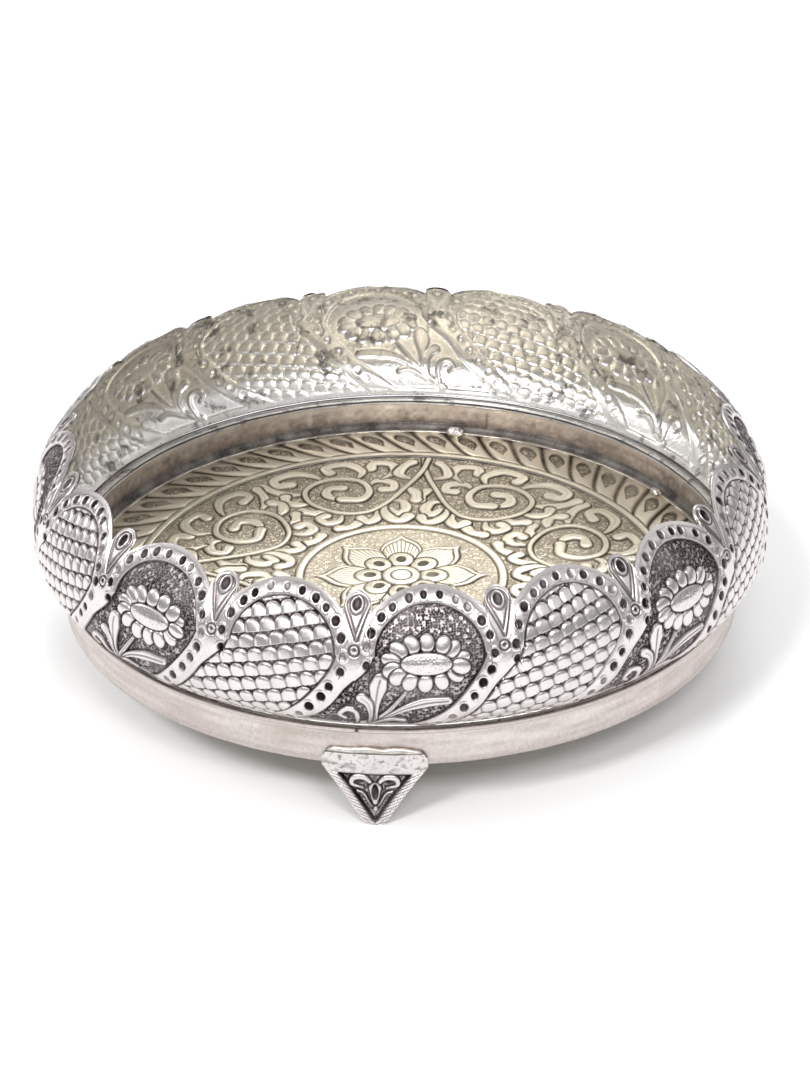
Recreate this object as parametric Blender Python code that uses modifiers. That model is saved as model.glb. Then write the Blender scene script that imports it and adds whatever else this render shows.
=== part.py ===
"""A footed, round offering plate in repousse silver.

A flat chased floor is soldered inside a plain upright band.  A bulging
repousse wall with a scalloped rim stands on a seat ring on top of the band, a
bead wire hides that joint outside, and three small triangular feet are
soldered to the band.

Units are metres and +Z is up.  The origin is on the plate's axis, at the
height of the tips of the feet.  Azimuths are in degrees, measured from the
front (-Y) towards the right (+X).
"""
import math

import bmesh
import bpy
from mathutils import Matrix, Vector

# Driving heights, above the tips of the feet
BAND_BOTTOM_Z = 0.0210
FLOOR_TOP_Z = 0.0222
BAND_TOP_Z = 0.0328
RIM_TOP_Z = 0.0827

# Band and floor
GAP = 0.0003            # clearance between two soldered pieces
BAND_OUTER_R = 0.1150
BAND_THICKNESS = 0.0016
FLOOR_THICKNESS = 0.0012
FLOOR_EDGE_CHAMFER = 0.0003
BOSS_R = 0.0065         # low raised boss in the middle of the floor
BOSS_HEIGHT = 0.0008
SEAM_WIDTH = 0.0029     # solder seam between floor and band
SEAM_HEIGHT = 0.0026

# Seat ring and bead wire on top of the band
SEAT_OUTER_R = 0.1146
SEAT_INNER_R = 0.1118
SEAT_HEIGHT = 0.0020
SEAT_GROOVE = 0.0005
BEAD_WIRE_R = 0.1158    # centre of the wire
BEAD_WIRE_RADIUS = 0.0009

# Repousse wall
WALL_FOOT_R = 0.1153    # outer radius where the wall stands on its seat
BULGE_R = 0.1240
BULGE_Z = 0.0482
RIM_R = 0.1080
WALL_THICKNESS = 0.0012
LOWER_CURVE = 2.1       # how suddenly the wall turns out, and in again
UPPER_CURVE = 2.9
RIM_LEAN = 0.35         # the handmade wall is taller at the back, per metre of Y
PANELS = 16
PANEL_AZIMUTH = 4.4     # centre of the front panel
PANEL_CROWDING = 3.3    # degrees by which the handmade panels crowd to the front
PANEL_WIDTH = 0.0465    # mean width of a panel, along the wall
RIM_STEEPNESS = 0.63    # height gained per unit of length up the wall, near the rim
ARCH_R = 0.0225         # the arches' outer radius
BUD_DROP = 0.0020       # the buds between the arches stay a little lower
BUD_R = 0.0046

# Feet
FOOT_AZIMUTHS = {"foot_front": -4.1, "foot_rear_right": 115.9, "foot_rear_left": 235.9}
FOOT_THICKNESS = 0.0016
FOOT_TOP_Z = 0.0258
FOOT_HALF_WIDTH = 0.0162
FOOT_TIP_HALF_WIDTH = 0.0020
FOOT_TIP_CORNER_Z = 0.0014
FOOT_SOLDER_RADIUS = 0.0007
FOOT_SOLDER_HALF_ANGLE = 7.2

# Lumps of solder left inside, on the floor next to the seam
FLOOR_SOLDER = {"floor_solder_lump_large": (169.0, 0.0021), "floor_solder_lump_small": (122.0, 0.0015)}

ROUND_STEPS = 72
WALL_STEPS_PER_PANEL = 12
WALL_ROWS = 7
SMOOTH_ANGLE = math.radians(40)

SILVER = (0.60, 0.56, 0.54)
CHAMPAGNE_SILVER = (0.56, 0.48, 0.34)
SATIN_SILVER = (0.66, 0.60, 0.57)
SOLDER_GREY = (0.52, 0.50, 0.46)


def clear_scene():
    for thing in list(bpy.data.objects):
        bpy.data.objects.remove(thing, do_unlink=True)


def make_collection(name):
    collection = bpy.data.collections.new(name)
    bpy.context.scene.collection.children.link(collection)
    return collection


def metal(name, colour, roughness):
    material = bpy.data.materials.new(name)
    material.use_nodes = True
    shader = material.node_tree.nodes["Principled BSDF"]
    shader.inputs["Base Color"].default_value = (*colour, 1.0)
    shader.inputs["Metallic"].default_value = 1.0
    shader.inputs["Roughness"].default_value = roughness
    return material


def add_mesh_object(name, mesh, parts, colour, roughness):
    part = bpy.data.objects.new(name, mesh)
    parts.objects.link(part)
    mesh.materials.append(metal(name, colour, roughness))
    mesh.shade_smooth()
    mesh.set_sharp_from_angle(angle=SMOOTH_ANGLE)
    return part


def turned(name, profile, closed, parts, colour, roughness):
    """A turned piece from (radius, height) points that run down its outer side."""
    mesh = bpy.data.meshes.new(name)
    count = len(profile)
    edges = [(i, i + 1) for i in range(count - 1)]
    if closed:
        edges.append((count - 1, 0))
    mesh.from_pydata([(r, 0.0, z) for r, z in profile], edges, [])
    part = add_mesh_object(name, mesh, parts, colour, roughness)
    screw = part.modifiers.new("turn", "SCREW")
    screw.axis = "Z"
    screw.steps = ROUND_STEPS
    screw.render_steps = ROUND_STEPS
    screw.use_merge_vertices = True
    screw.merge_threshold = 0.00005
    screw.use_smooth_shade = True
    return part


def band_inner_r():
    return BAND_OUTER_R - BAND_THICKNESS


def make_floor_disc(parts):
    edge_r = band_inner_r() - GAP
    bottom = FLOOR_TOP_Z - FLOOR_THICKNESS
    profile = [(0.0, FLOOR_TOP_Z + BOSS_HEIGHT)]
    profile.append((BOSS_R * 0.6, FLOOR_TOP_Z + BOSS_HEIGHT))
    profile.append((BOSS_R, FLOOR_TOP_Z))
    profile.append((edge_r - FLOOR_EDGE_CHAMFER, FLOOR_TOP_Z))
    profile.append((edge_r, FLOOR_TOP_Z - FLOOR_EDGE_CHAMFER))
    profile.append((edge_r, bottom + FLOOR_EDGE_CHAMFER))
    profile.append((edge_r - FLOOR_EDGE_CHAMFER, bottom))
    profile.append((0.0, bottom))
    return turned("floor_disc", profile, False, parts, CHAMPAGNE_SILVER, 0.35)


def make_base_band(parts):
    chamfer = BAND_THICKNESS * 0.2
    inner = band_inner_r()
    profile = [
        (inner, BAND_TOP_Z - chamfer),
        (inner + chamfer, BAND_TOP_Z),
        (BAND_OUTER_R - chamfer, BAND_TOP_Z),
        (BAND_OUTER_R, BAND_TOP_Z - chamfer),
        (BAND_OUTER_R, BAND_BOTTOM_Z + chamfer),
        (BAND_OUTER_R - chamfer, BAND_BOTTOM_Z),
        (inner + chamfer, BAND_BOTTOM_Z),
        (inner, BAND_BOTTOM_Z + chamfer),
    ]
    return turned("base_band", profile, True, parts, SATIN_SILVER, 0.38)


def make_floor_solder_seam(parts):
    outer = band_inner_r() - GAP
    bottom = FLOOR_TOP_Z + GAP
    profile = [
        (outer, bottom + SEAM_HEIGHT),
        (outer, bottom),
        (outer - SEAM_WIDTH, bottom),
        (outer - SEAM_WIDTH * 0.35, bottom + SEAM_HEIGHT * 0.35),
    ]
    return turned("floor_solder_seam", profile, True, parts, SOLDER_GREY, 0.4)


def make_wall_seat_ring(parts):
    bottom = BAND_TOP_Z + GAP
    top = bottom + SEAT_HEIGHT
    middle = (bottom + top) / 2
    quarter = SEAT_HEIGHT / 4
    profile = [
        (SEAT_INNER_R + SEAT_GROOVE, top),
        (SEAT_OUTER_R, top),
        (SEAT_OUTER_R, bottom),
        (SEAT_INNER_R + SEAT_GROOVE, bottom),
        (SEAT_INNER_R, bottom + quarter),
        (SEAT_INNER_R + SEAT_GROOVE, middle),
        (SEAT_INNER_R, top - quarter),
    ]
    return turned("wall_seat_ring", profile, True, parts, SILVER, 0.35)


def make_bead_wire(parts):
    sides = 8
    middle = BAND_TOP_Z + GAP + BEAD_WIRE_RADIUS
    profile = []
    for side in range(sides):
        angle = -2 * math.pi * (side + 0.5) / sides
        radius = BEAD_WIRE_R + BEAD_WIRE_RADIUS * math.cos(angle)
        profile.append((radius, middle + BEAD_WIRE_RADIUS * math.sin(angle)))
    return turned("bead_wire", profile, True, parts, SILVER, 0.3)


def wall_foot_z():
    return BAND_TOP_Z + GAP + SEAT_HEIGHT + GAP


def wall_radius(z):
    """Outer radius of the wall before the handmade lean."""
    if z < BULGE_Z:
        share = (BULGE_Z - z) / (BULGE_Z - wall_foot_z())
        return BULGE_R - (BULGE_R - WALL_FOOT_R) * share**LOWER_CURVE
    share = (z - BULGE_Z) / (RIM_TOP_Z - BULGE_Z)
    return BULGE_R - (BULGE_R - RIM_R) * share**UPPER_CURVE


def rim_drop(pattern_angle):
    """How far the scalloped rim lies below the tops of the arches."""
    turn = ((pattern_angle - PANEL_AZIMUTH) * PANELS / 360.0 + 0.5) % 1.0 - 0.5
    from_arch = min(abs(turn) * PANEL_WIDTH, ARCH_R)
    from_bud = (0.5 - abs(turn)) * PANEL_WIDTH
    drop = ARCH_R - math.sqrt(ARCH_R**2 - from_arch**2)
    if from_bud < BUD_R:
        drop = min(drop, BUD_DROP + BUD_R - math.sqrt(BUD_R**2 - from_bud**2))
    return drop * RIM_STEEPNESS


def wall_point(pattern_angle, height_share):
    """A point on the wall's outer face, from its foot (0) to its rim (1)."""
    foot = wall_foot_z()
    z = foot + (RIM_TOP_Z - rim_drop(pattern_angle) - foot) * height_share
    radius = wall_radius(z)
    crowding = PANEL_CROWDING * math.sin(math.radians(pattern_angle))
    azimuth = math.radians(pattern_angle - crowding)
    y = -radius * math.cos(azimuth)
    z = foot + (z - foot) * (1.0 + RIM_LEAN * y)
    return Vector((radius * math.sin(azimuth), y, z))


def make_repousse_wall(parts):
    columns = PANELS * WALL_STEPS_PER_PANEL
    shape = bmesh.new()
    bmesh.ops.create_grid(shape, x_segments=columns, y_segments=WALL_ROWS, size=0.5)
    for vertex in shape.verts:
        pattern_angle = PANEL_AZIMUTH + 360.0 * (vertex.co.x + 0.5)
        share = min(max(vertex.co.y + 0.5, 0.0), 1.0)
        vertex.co = wall_point(pattern_angle, share)
    bmesh.ops.remove_doubles(shape, verts=shape.verts, dist=0.00002)
    mesh = bpy.data.meshes.new("repousse_wall")
    shape.to_mesh(mesh)
    shape.free()
    part = add_mesh_object("repousse_wall", mesh, parts, SILVER, 0.35)
    sheet = part.modifiers.new("sheet", "SOLIDIFY")
    sheet.thickness = WALL_THICKNESS
    sheet.offset = -1.0
    sheet.use_even_offset = True
    return part


def foot_outline():
    """Outline of one foot, seen from outside: across and height."""
    side = []
    steps = 5
    for step in range(steps + 1):
        share = step / steps
        across = FOOT_HALF_WIDTH + (FOOT_TIP_HALF_WIDTH + 0.0012 - FOOT_HALF_WIDTH) * share
        bow = 0.0006 * math.sin(math.pi * share)
        height = BAND_BOTTOM_Z + (FOOT_TIP_CORNER_Z - BAND_BOTTOM_Z) * share
        side.append((across - bow, height))
    shoulder = [(FOOT_HALF_WIDTH * 0.93, FOOT_TOP_Z), (FOOT_HALF_WIDTH, FOOT_TOP_Z - 0.0016)]
    right = shoulder + side + [(FOOT_TIP_HALF_WIDTH, 0.0)]
    left = [(-across, height) for across, height in reversed(right)]
    return right + left


def curve_to_mesh_object(curve_object, parts, colour, roughness):
    """Turns a capped curve into one closed mesh in the same place."""
    name = curve_object.name
    depsgraph = bpy.context.evaluated_depsgraph_get()
    mesh = bpy.data.meshes.new_from_object(curve_object.evaluated_get(depsgraph))
    place = curve_object.matrix_world.copy()
    bpy.data.objects.remove(curve_object, do_unlink=True)
    shape = bmesh.new()
    shape.from_mesh(mesh)
    bmesh.ops.remove_doubles(shape, verts=shape.verts, dist=0.00001)
    shape.to_mesh(mesh)
    shape.free()
    mesh.materials.clear()
    part = add_mesh_object(name, mesh, parts, colour, roughness)
    part.matrix_world = place
    return part


def make_foot(name, azimuth, parts):
    curve = bpy.data.curves.new(name, "CURVE")
    curve.dimensions = "2D"
    curve.fill_mode = "BOTH"
    curve.extrude = FOOT_THICKNESS / 2
    outline = foot_outline()
    spline = curve.splines.new("POLY")
    spline.points.add(len(outline) - 1)
    for point, (across, height) in zip(spline.points, outline):
        point.co = (across, height, 0.0, 1.0)
    spline.use_cyclic_u = True
    foot = bpy.data.objects.new(name, curve)
    parts.objects.link(foot)
    stand_up = Matrix.Rotation(math.radians(90), 4, "X")
    outwards = Matrix.Translation((0.0, -(BAND_OUTER_R + GAP + FOOT_THICKNESS / 2), 0.0))
    turn = Matrix.Rotation(math.radians(azimuth), 4, "Z")
    foot.matrix_world = turn @ outwards @ stand_up
    bpy.context.view_layer.update()
    return curve_to_mesh_object(foot, parts, SILVER, 0.35)


def make_foot_solder(name, azimuth, parts):
    """A bead of solder along the top edge of a foot, lying on the band."""
    curve = bpy.data.curves.new(name, "CURVE")
    curve.dimensions = "3D"
    curve.bevel_depth = FOOT_SOLDER_RADIUS
    curve.bevel_resolution = 2
    curve.use_fill_caps = True
    steps = 8
    radius = BAND_OUTER_R + GAP + FOOT_SOLDER_RADIUS + 0.0001
    height = FOOT_TOP_Z + GAP + FOOT_SOLDER_RADIUS
    spline = curve.splines.new("POLY")
    spline.points.add(steps)
    for step, point in enumerate(spline.points):
        share = 2 * step / steps - 1
        angle = math.radians(azimuth + FOOT_SOLDER_HALF_ANGLE * share)
        point.co = (radius * math.sin(angle), -radius * math.cos(angle), height, 1.0)
    bead = bpy.data.objects.new(name, curve)
    parts.objects.link(bead)
    bpy.context.view_layer.update()
    return curve_to_mesh_object(bead, parts, SOLDER_GREY, 0.4)


def make_floor_solder_lump(name, azimuth, size, parts):
    mesh = bpy.data.meshes.new(name)
    shape = bmesh.new()
    bmesh.ops.create_uvsphere(shape, u_segments=12, v_segments=8, radius=size)
    seam_inner = band_inner_r() - GAP - SEAM_WIDTH
    radius = seam_inner - GAP - size
    flatten = Matrix.Diagonal((1.5, 0.95, 0.6, 1.0))
    turn = Matrix.Rotation(math.radians(azimuth), 4, "Z")
    lift = Matrix.Translation((0.0, -radius, FLOOR_TOP_Z + GAP + size * 0.6))
    bmesh.ops.transform(shape, matrix=turn @ lift @ flatten, verts=shape.verts)
    shape.to_mesh(mesh)
    shape.free()
    return add_mesh_object(name, mesh, parts, SOLDER_GREY, 0.35)


def main():
    clear_scene()
    parts = make_collection("offering_plate")
    make_floor_disc(parts)
    make_base_band(parts)
    make_floor_solder_seam(parts)
    make_wall_seat_ring(parts)
    make_bead_wire(parts)
    make_repousse_wall(parts)
    for name, azimuth in FOOT_AZIMUTHS.items():
        make_foot(name, azimuth, parts)
        make_foot_solder(name + "_solder", azimuth, parts)
    for name, (azimuth, size) in FLOOR_SOLDER.items():
        make_floor_solder_lump(name, azimuth, size, parts)


main()
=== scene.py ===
import math

import bmesh
import bpy
import numpy as np
from mathutils import Matrix, Vector


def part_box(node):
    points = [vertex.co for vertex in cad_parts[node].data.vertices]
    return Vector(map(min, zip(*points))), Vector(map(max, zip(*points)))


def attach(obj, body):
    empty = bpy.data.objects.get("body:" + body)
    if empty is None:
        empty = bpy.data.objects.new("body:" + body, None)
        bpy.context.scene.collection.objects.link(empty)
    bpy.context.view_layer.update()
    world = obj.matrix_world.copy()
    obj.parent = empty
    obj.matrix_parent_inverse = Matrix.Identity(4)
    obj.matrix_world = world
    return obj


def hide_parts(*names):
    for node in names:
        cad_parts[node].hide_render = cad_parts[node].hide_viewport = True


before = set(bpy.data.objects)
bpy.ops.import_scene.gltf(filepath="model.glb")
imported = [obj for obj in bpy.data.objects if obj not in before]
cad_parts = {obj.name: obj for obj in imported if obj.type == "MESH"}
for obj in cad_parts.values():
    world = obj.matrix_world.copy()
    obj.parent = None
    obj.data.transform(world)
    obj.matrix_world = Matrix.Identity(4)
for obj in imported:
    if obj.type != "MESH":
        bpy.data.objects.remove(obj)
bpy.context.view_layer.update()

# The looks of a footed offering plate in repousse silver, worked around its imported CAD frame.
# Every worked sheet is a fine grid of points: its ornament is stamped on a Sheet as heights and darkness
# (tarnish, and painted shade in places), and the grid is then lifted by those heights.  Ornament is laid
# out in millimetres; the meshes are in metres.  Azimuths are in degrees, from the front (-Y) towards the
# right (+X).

MM = 0.001
WHOLE = ...        # every point of a sheet
MARGIN = 1.2       # how far the edge of a stamped shape reaches, in millimetres

# Places and sizes that the frame gives
SEAM_LOW, SEAM_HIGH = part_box("floor_solder_seam")
FLOOR_TOP = SEAM_LOW.z - 0.0003
FLOOR_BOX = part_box("floor_disc")
FLOOR_R = FLOOR_BOX[1].x
BAND_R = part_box("base_band")[1].x
SEAT_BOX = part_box("wall_seat_ring")
BEAD_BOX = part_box("bead_wire")
BULGE_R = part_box("repousse_wall")[1].x

# The wall, as the CAD part draws it
WALL_FOOT_Z = SEAT_BOX[1].z + 0.0003
WALL_FOOT_R = 0.1153
BULGE_Z = 0.0482
RIM_TOP_Z = 0.0827
RIM_R = 0.1080
LOWER_CURVE = 2.1
UPPER_CURVE = 2.9
RIM_LEAN = 0.35
RIM_STEEPNESS = 0.63
PANELS = 16
PANEL_AZIMUTH = 4.4
PANEL_CROWDING = 3.3
PANEL_WIDTH = 46.5
SHEET_THICKNESS = 0.9
ARCH_R = 22.5
BUD_R = 4.6
BUD_DROP = 2.0

# Fineness of the worked sheets
WALL_COLUMNS = 3200
WALL_ROWS = 193
WALL_SECTORS = 8

# Azimuths of what isn't round
BAND_LAP = 163.0
BEAD_JOINT = 360 - 6.7
FEET = {"foot_front": -4.1, "foot_rear_right": 115.9, "foot_rear_left": 235.9}
FLOOR_LUMPS = {"floor_solder_lump_large": 169.0, "floor_solder_lump_small": 122.0}
FOOT_SOLDER_HALF_ANGLE = 7.4

# Metals: colours when bright, half and fully darkened (by tarnish, and in places by painted shade),
# stain, amount of stain, roughness, grain and, where they differ from the others, where stains start, are
# full and their scale
METALS = {
    "worked_silver_outside": (
        (0.72, 0.685, 0.67), (0.34, 0.305, 0.30), (0.022, 0.016, 0.018), (0.50, 0.46, 0.45),
        0.45, 0.19, 0.22),
    "worked_silver_inside": (
        (0.90, 0.885, 0.855), (0.48, 0.46, 0.44), (0.06, 0.055, 0.055), (0.15, 0.145, 0.15),
        0.8, 0.21, 0.4, 0.55, 0.63, 120.0),
    "chased_silver_floor": (
        (0.90, 0.84, 0.71), (0.52, 0.46, 0.36), (0.055, 0.044, 0.032), (0.72, 0.66, 0.54),
        0.45, 0.27, 0.2),
    "silver_underside": (
        (0.55, 0.51, 0.46), (0.36, 0.32, 0.28), (0.10, 0.08, 0.07), (0.34, 0.30, 0.26),
        0.7, 0.36, 0.25),
    "satin_silver_band": (
        (0.70, 0.64, 0.61), (0.30, 0.255, 0.235), (0.05, 0.038, 0.034), (0.48, 0.41, 0.37),
        0.75, 0.30, 0.12),
    "silver_solder": (
        (0.80, 0.77, 0.73), (0.42, 0.39, 0.36), (0.06, 0.052, 0.05), (0.50, 0.47, 0.43),
        0.4, 0.26, 0.4),
}

# Stage
STAGE_SIZE = 16.0
SKY = [(0.0, (0.55, 0.55, 0.56)), (0.12, (0.30, 0.30, 0.31)), (0.26, (0.30, 0.30, 0.31)),
       (0.52, (1.0, 1.0, 1.0)), (1.0, (0.62, 0.62, 0.63))]
CAMERA_TILT = 28.99     # degrees down
CAMERA_ROLL = -0.33
CAMERA_DISTANCE = 0.86251
CAMERA_RIGHT = 0.00132
CAMERA_UP = 0.01199
CAMERA_LENS = 250.0 / 3


def box_heights(node):
    """The lowest and highest points of a CAD node, in millimetres."""
    low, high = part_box(node)
    return low.z / MM, high.z / MM


# ---- numbers and noise

def ease(low, high, value):
    """0 below low, 1 above high, smooth between; low may be the greater."""
    t = np.clip((value - low) / (high - low), 0.0, 1.0)
    return t * t * (3.0 - 2.0 * t)


def scatter(i, j, seed):
    """A repeatable number from 0 to 1 for each pair of whole numbers."""
    value = np.sin(i * 127.1 + j * 311.7 + seed * 74.7) * 43758.5453
    return value - np.floor(value)


def sway(i, j, seed):
    """A repeatable number from -0.5 to 0.5."""
    return scatter(i, j, seed) - 0.5


def bell(distance, width):
    """1 where distance is zero, falling off over the width."""
    return np.exp(-((distance / width) ** 2))


def noise(x, y, seed):
    """Smooth noise from -1 to 1 with features one unit wide."""
    i, j = np.floor(x), np.floor(y)
    u, v = x - i, y - j
    u, v = u * u * (3 - 2 * u), v * v * (3 - 2 * v)
    low = scatter(i, j, seed) * (1 - u) + scatter(i + 1, j, seed) * u
    high = scatter(i, j + 1, seed) * (1 - u) + scatter(i + 1, j + 1, seed) * u
    return 2.0 * (low * (1 - v) + high * v) - 1.0


def punch_marks(x, y, pitch, seed):
    """Distance to the nearest punch mark, in pitches, and that mark's own random number."""
    u, v = x / pitch, y / pitch
    i, j = np.floor(u), np.floor(v)
    nearest = np.full(x.shape, 9.0)
    mark = np.zeros(x.shape)
    for di in (-1, 0, 1):
        for dj in (-1, 0, 1):
            ci, cj = i + di, j + dj
            cx = ci + 0.5 + 0.7 * sway(ci, cj, seed)
            cy = cj + 0.5 + 0.7 * sway(ci, cj, seed + 1)
            gap = np.hypot(u - cx, v - cy)
            closer = gap < nearest
            nearest = np.where(closer, gap, nearest)
            mark = np.where(closer, scatter(ci, cj, seed + 2), mark)
    return nearest, mark


def smooth_path(points, steps=6):
    """Points along a smooth curve through the given ones."""
    p = np.array(points, float)
    p = np.vstack([2 * p[0] - p[1], p, 2 * p[-1] - p[-2]])
    out = []
    for k in range(1, len(p) - 2):
        for t in np.linspace(0, 1, steps, endpoint=False):
            a = 2 * p[k]
            b = (p[k + 1] - p[k - 1]) * t
            c = (2 * p[k - 1] - 5 * p[k] + 4 * p[k + 1] - p[k + 2]) * t**2
            d = (3 * p[k] - p[k - 1] - 3 * p[k + 1] + p[k + 2]) * t**3
            out.append((a + b + c + d) / 2)
    out.append(p[-2])
    return np.array(out)


# ---- a worked sheet

class Sheet:
    """Heights (mm) and darkness (0 to 1) over points laid out in millimetres: tarnish, and in places
    painted shade.
    """

    def __init__(self, x, y):
        self.x = x
        self.y = y
        self.height = np.zeros(x.shape)
        self.tarnish_and_shade = np.zeros(x.shape)

    def near(self, low, high):
        inside = (self.x > low[0]) & (self.x < high[0]) & (self.y > low[1]) & (self.y < high[1])
        return np.nonzero(inside)

    def ground(self, where, depth, pitch, seed, darkness=0.8):
        """Matted ground: punched all over with small round marks."""
        x, y = self.x[where], self.y[where]
        gap, mark = punch_marks(x, y, pitch, seed)
        pit = ease(0.62, 0.1, gap)
        self.height[where] = -depth - 0.14 * pit + 0.06 * mark
        self.tarnish_and_shade[where] = np.clip(darkness * (0.62 + 0.5 * pit - 0.5 * (mark > 0.8)), 0, 1)

    def darken(self, where, tarnish_and_shade):
        self.tarnish_and_shade[where] = np.maximum(self.tarnish_and_shade[where], tarnish_and_shade)

    def line(self, where, distance, width, depth, darkness):
        """A chased line where distance is zero."""
        cut = bell(distance, width)
        self.height[where] -= depth * cut
        self.darken(where, darkness * cut)

    def lay(self, where, distance, height, crown, shoulder, outline=0.32):
        """A raised shape; distance is negative inside it."""
        inside = ease(0.18, -0.18, distance)
        body = height + crown * (1.0 - np.exp(np.minimum(distance, 0.0) / shoulder))
        self.height[where] = self.height[where] * (1 - inside) + body * inside
        self.tarnish_and_shade[where] *= 1 - inside
        self.line(where, distance, outline, 0.22, 0.95)

    def stroke(self, points, radii, height=-0.55, crown=0.45, vein=0.0, outline=0.32):
        """A raised stroke along a path, with a radius at each of its points."""
        points = np.array(points, float)
        radii = np.interp(np.linspace(0, 1, len(points)), np.linspace(0, 1, len(radii)), radii)
        margin = radii.max() + MARGIN
        where = self.near(points.min(0) - margin, points.max(0) + margin)
        x, y = self.x[where], self.y[where]
        distance = np.full(x.shape, 99.0)
        spine = np.full(x.shape, 99.0)
        for k in range(len(points) - 1):
            ax, ay = points[k]
            dx, dy = points[k + 1] - points[k]
            span = max(dx * dx + dy * dy, 1e-9)
            t = np.clip(((x - ax) * dx + (y - ay) * dy) / span, 0, 1)
            gap = np.hypot(x - ax - t * dx, y - ay - t * dy)
            edge = gap - (radii[k] + t * (radii[k + 1] - radii[k]))
            distance = np.minimum(distance, edge)
            spine = np.minimum(spine, gap)
        self.lay(where, distance, height, crown, 0.35 * radii.max() + 0.15, outline)
        if vein:
            inside = ease(-0.1, -0.7, distance)
            cut = vein * inside * bell(spine, 0.28)
            self.height[where] -= 0.3 * cut
            self.darken(where, 0.75 * cut)

    def oval(self, centre, a, b, turn, height=-0.55, crown=0.5, shoulder=0.8, outline=0.32):
        """A raised oval with half-axes a and b, turned by an angle in degrees."""
        reach = max(a, b) + MARGIN
        centre = np.array(centre, float)
        where = self.near(centre - reach, centre + reach)
        distance = oval_distance(self.x[where], self.y[where], centre, a, b, turn)
        self.lay(where, distance, height, crown, shoulder, outline)
        return where, distance

    def pit(self, centre, a, b, turn, depth, darkness):
        """A punched hollow with a slightly raised lip."""
        reach = max(a, b) + MARGIN
        centre = np.array(centre, float)
        where = self.near(centre - reach, centre + reach)
        distance = oval_distance(self.x[where], self.y[where], centre, a, b, turn)
        self.height[where] += 0.14 * bell(distance - 0.35, 0.35)
        self.height[where] -= depth * ease(0.25, -0.7 * min(a, b), distance)
        self.darken(where, darkness * ease(0.3, -0.35, distance))


def oval_distance(x, y, centre, a, b, turn):
    c, s = math.cos(math.radians(turn)), math.sin(math.radians(turn))
    u = (x - centre[0]) * c + (y - centre[1]) * s
    v = -(x - centre[0]) * s + (y - centre[1]) * c
    q = np.sqrt((u / a) ** 2 + (v / b) ** 2) + 1e-9
    slope = np.sqrt((u / a**2) ** 2 + (v / b**2) ** 2) / q + 1e-9
    return (q - 1.0) / slope


# ---- meshes

def grid_normals(points, wrap):
    """Unit normals of a grid of points, rows up and columns across."""
    if wrap:
        across = np.roll(points, -1, 1) - np.roll(points, 1, 1)
    else:
        across = np.gradient(points, axis=1)
    up = np.gradient(points, axis=0)
    normal = np.cross(across, up)
    return normal / (np.linalg.norm(normal, axis=2, keepdims=True) + 1e-12)


def grid_faces(rows, columns, first, flip):
    i, j = np.meshgrid(np.arange(rows - 1), np.arange(columns - 1), indexing="ij")
    a = first + i * columns + j
    corners = [a, a + 1, a + columns + 1, a + columns]
    if flip:
        corners.reverse()
    return np.stack(corners, -1).reshape(-1, 4)


def bridge(fine, coarse, flip):
    """Triangles that join a fine edge to a coarse one with half its steps."""
    faces = []
    for k in range(len(coarse) - 1):
        a, b, c = fine[2 * k], fine[2 * k + 1], fine[2 * k + 2]
        p, q = coarse[k], coarse[k + 1]
        faces += [(p, b, a), (p, q, b), (q, c, b)]
    faces = np.array(faces)
    return faces[:, ::-1] if flip else faces


def mesh_object(name, points, quads, triangles, material, normals=None, tarnish_and_shade=None):
    """A mesh object from arrays of points, four-cornered faces and triangles."""
    mesh = bpy.data.meshes.new(name)
    mesh.vertices.add(len(points))
    mesh.vertices.foreach_set("co", np.asarray(points, np.float32).ravel())
    loops = np.concatenate([quads.ravel(), triangles.ravel()]).astype(np.int32)
    sizes = np.concatenate([np.full(len(quads), 4), np.full(len(triangles), 3)])
    starts = np.concatenate([[0], np.cumsum(sizes)[:-1]]).astype(np.int32)
    mesh.loops.add(len(loops))
    mesh.loops.foreach_set("vertex_index", loops)
    mesh.polygons.add(len(sizes))
    mesh.polygons.foreach_set("loop_start", starts)
    mesh.update(calc_edges=True)
    mesh.validate()
    mesh.shade_smooth()
    if tarnish_and_shade is not None:
        layer = mesh.attributes.new("tarnish_and_shade", "FLOAT", "POINT")
        layer.data.foreach_set("value", np.asarray(tarnish_and_shade, np.float32).ravel())
    if normals is not None:
        mesh.normals_split_custom_set_from_vertices(np.asarray(normals, np.float32).reshape(-1, 3))
    piece = bpy.data.objects.new(name, mesh)
    bpy.context.scene.collection.objects.link(piece)
    mesh.materials.append(material)
    return piece


def settle(piece, slot, *nodes):
    """The piece rides with the plate and stands for its CAD nodes."""
    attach(piece, "root")
    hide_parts(*nodes)


def take(grids, columns, step=1):
    """The given columns of several grids, by steps of one or more rows and columns."""
    return [grid[::step][:, columns[::step]] for grid in grids]


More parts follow.
